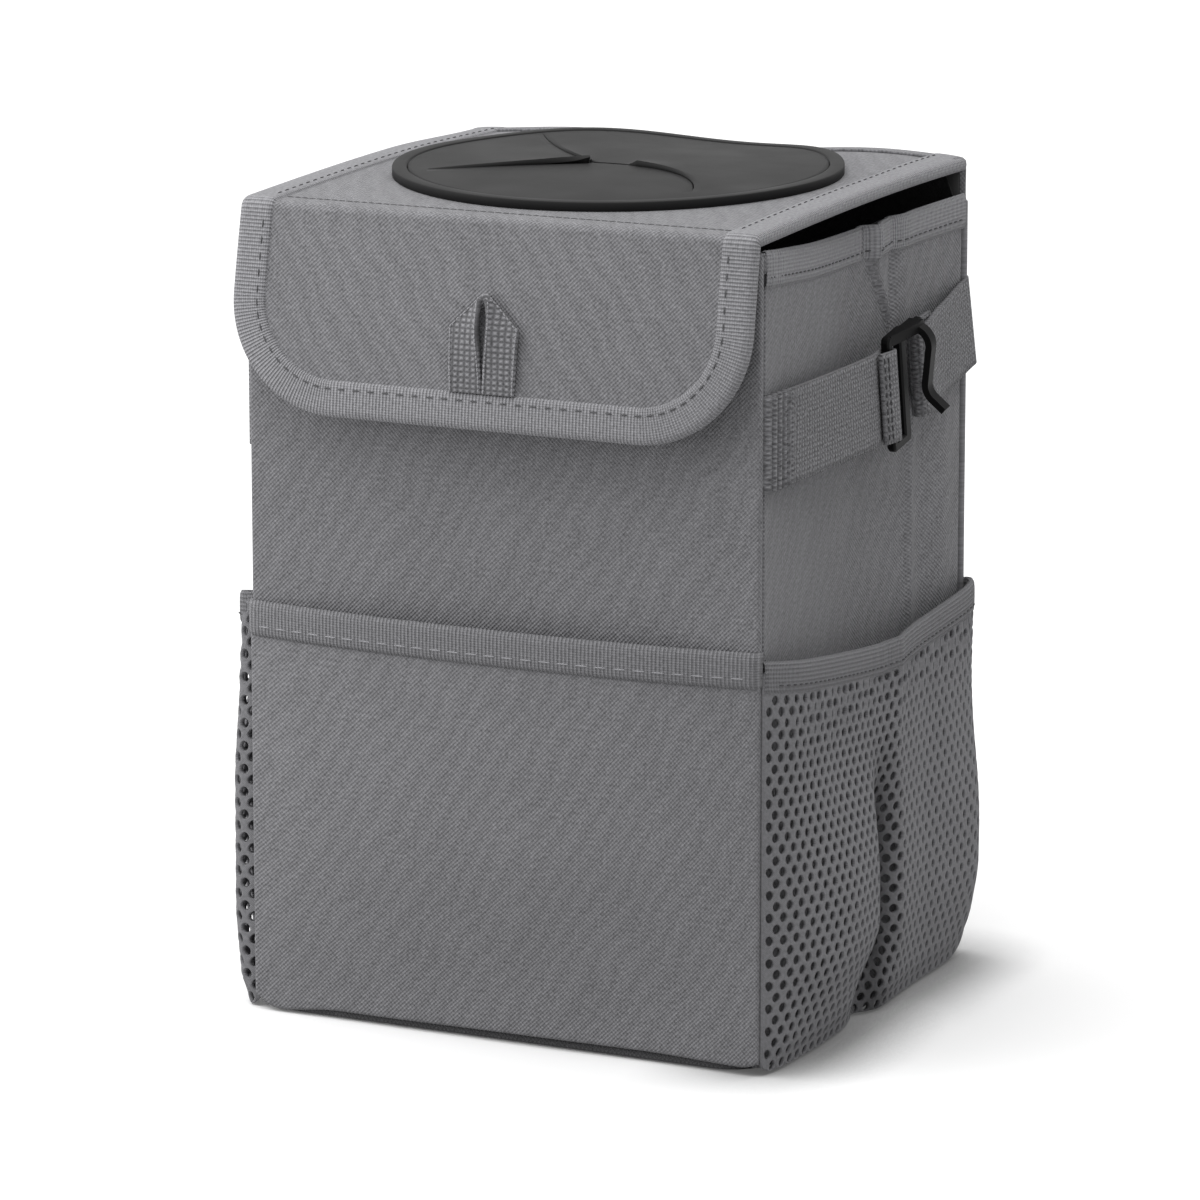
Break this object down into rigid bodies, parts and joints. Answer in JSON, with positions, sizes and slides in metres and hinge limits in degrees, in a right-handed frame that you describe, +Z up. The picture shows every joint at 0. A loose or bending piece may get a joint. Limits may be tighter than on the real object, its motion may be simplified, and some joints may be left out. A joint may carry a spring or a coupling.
{
  "type": "car trash bin",
  "caption": "Soft-sided grey cloth car trash bin with hinged lid, closing flap, slit rubber mouth, front and mesh side pockets and a hanging strap with plastic hooks.",
  "frame": {"origin": "on the floor under the middle of the base", "axes": "+Z up, -Y towards the front with the flap and front pocket, +X towards the right side pocket"},
  "size_m": [0.2076, 0.1888, 0.268],
  "materials": {
    "grey_cloth": "woven oxford cloth, matt",
    "stiffener_board": "plain sheet",
    "black_liner": "coated cloth, dull",
    "binding_tape": "ribbed tape, matt",
    "elastic_band": "woven elastic, matt",
    "mesh": "knitted mesh, matt",
    "webbing": "ribbed webbing, matt",
    "hook_plastic": "moulded, satin",
    "mouth_rubber": "moulded, satin",
    "touch_fastener": "hook and loop pile"
  },
  "bodies": {
    "body": {"front_panel": "grey_cloth", "rear_panel": "grey_cloth", "left_gusset": "grey_cloth", "right_gusset": "grey_cloth", "base_panel": "grey_cloth", "front_pocket": "grey_cloth", "front_board": "stiffener_board", "rear_board": "stiffener_board", "base_board": "stiffener_board", "liner": "black_liner", "left_rim_binding": "binding_tape", "right_rim_binding": "binding_tape", "front_pocket_binding": "binding_tape", "left_pocket_elastic": "elastic_band", "right_pocket_elastic": "elastic_band", "left_mesh_pocket": "mesh", "right_mesh_pocket": "mesh", "left_front_strap": "webbing", "right_front_strap": "webbing", "hanging_strap": "webbing", "left_hook": "hook_plastic", "right_hook": "hook_plastic", "loop_patch": "touch_fastener"},
    "lid": {"lid_panel": "grey_cloth", "lid_board": "stiffener_board", "lid_lining": "black_liner", "left_lid_binding": "binding_tape", "right_lid_binding": "binding_tape", "mouth": "mouth_rubber"},
    "flap": {"flap_panel": "grey_cloth", "flap_board": "stiffener_board", "flap_lining": "grey_cloth", "flap_binding": "binding_tape", "pull_tab": "webbing", "hook_patch": "touch_fastener"}
  },
  "joints": [
    {"name": "lid_hinge", "type": "hinge", "parent": "body", "child": "lid", "pos_m": [0, 0.0805, 0.2635], "axis": [-1, 0, 0], "range_deg": [0, 180]},
    {"name": "flap_hinge", "type": "hinge", "parent": "lid", "child": "flap", "pos_m": [0, -0.0845, 0.2635], "axis": [-1, 0, 0], "range_deg": [-4, 165]}
  ]
}
